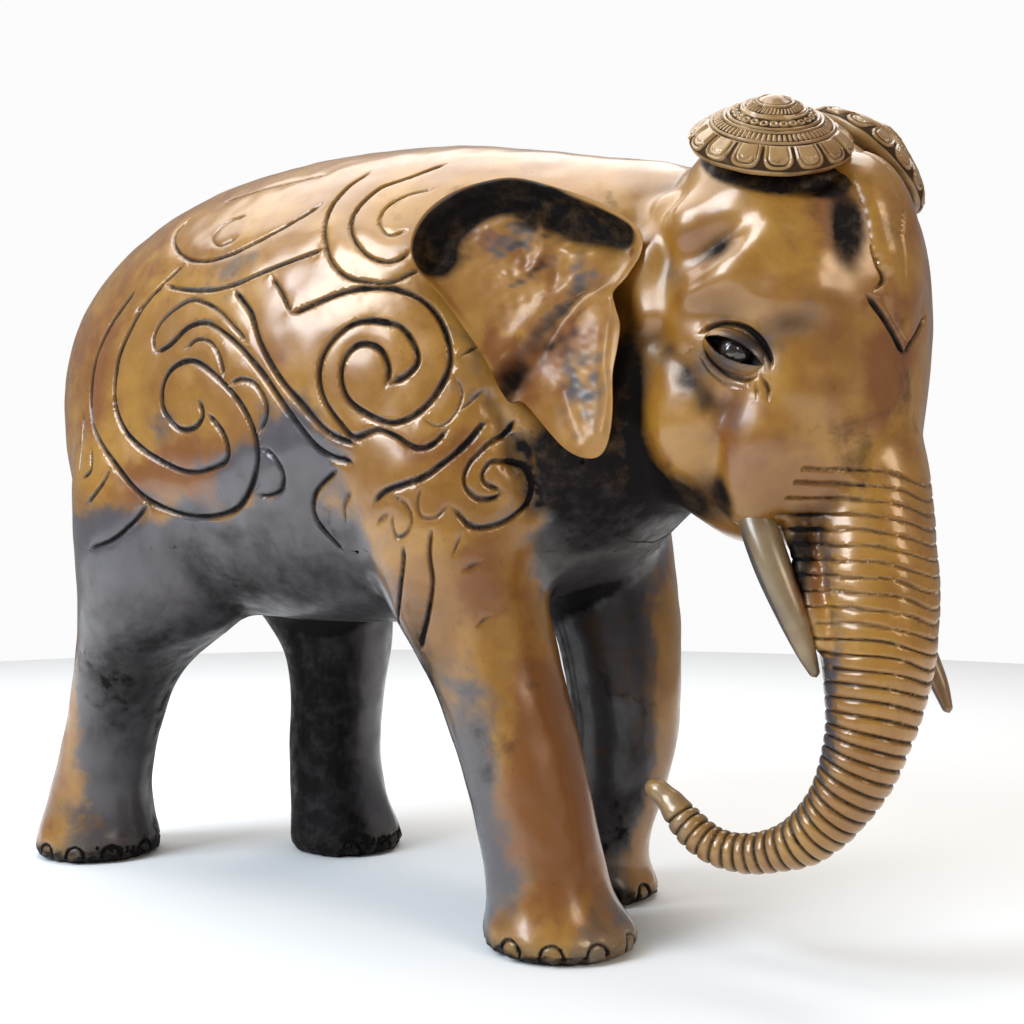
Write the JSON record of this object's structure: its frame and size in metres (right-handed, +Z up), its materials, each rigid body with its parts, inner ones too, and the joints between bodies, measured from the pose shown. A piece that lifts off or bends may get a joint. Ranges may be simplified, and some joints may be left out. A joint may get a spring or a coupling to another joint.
{
  "type": "elephant figurine",
  "caption": "Carved wooden elephant, walking, with a curled trunk, domed crown caps and scroll carving on its flanks; it stands on flat soles.",
  "frame": {"origin": "middle of the outline, on the ground under the soles", "axes": "+X the way the elephant faces, +Y to its left, +Z up"},
  "size_m": [0.502, 0.1942, 0.3731],
  "materials": {
    "carved_wood": "golden brown stain with near-black patina in the cuts, rubbed back and waxed to a gloss",
    "trunk_wood": "the same stain and gloss, with a dark line in every ring",
    "ear_wood": "the same stain, near black under the rolled rim",
    "cap_wood": "paler stain with dark patina between the beads and petals",
    "tusk_wood": "grey-brown stain, waxed",
    "eye_bead": "near-black, polished",
    "dowel_wood": "plain turned hardwood, unseen"
  },
  "bodies": {
    "root": {"body_block": "carved_wood", "head_block": "carved_wood", "trunk_lower": "trunk_wood", "leg_front_right": "carved_wood", "leg_front_left": "carved_wood", "leg_hind_right": "carved_wood", "leg_hind_left": "carved_wood", "ear_right": "ear_wood", "ear_left": "ear_wood", "head_cap_right": "cap_wood", "head_cap_left": "cap_wood", "forehead_lappet": "carved_wood", "tusk_right": "tusk_wood", "tusk_left": "tusk_wood", "eye_right": "eye_bead", "eye_left": "eye_bead", "tail": "carved_wood", "neck_dowel_upper": "dowel_wood", "neck_dowel_lower": "dowel_wood", "trunk_dowel": "dowel_wood", "cap_dowel_right": "dowel_wood", "cap_dowel_left": "dowel_wood", "leg_front_right_dowel_1": "dowel_wood", "leg_front_right_dowel_2": "dowel_wood", "leg_front_left_dowel_1": "dowel_wood", "leg_front_left_dowel_2": "dowel_wood", "leg_hind_right_dowel_1": "dowel_wood", "leg_hind_right_dowel_2": "dowel_wood", "leg_hind_left_dowel_1": "dowel_wood", "leg_hind_left_dowel_2": "dowel_wood"}
  },
  "joints": []
}
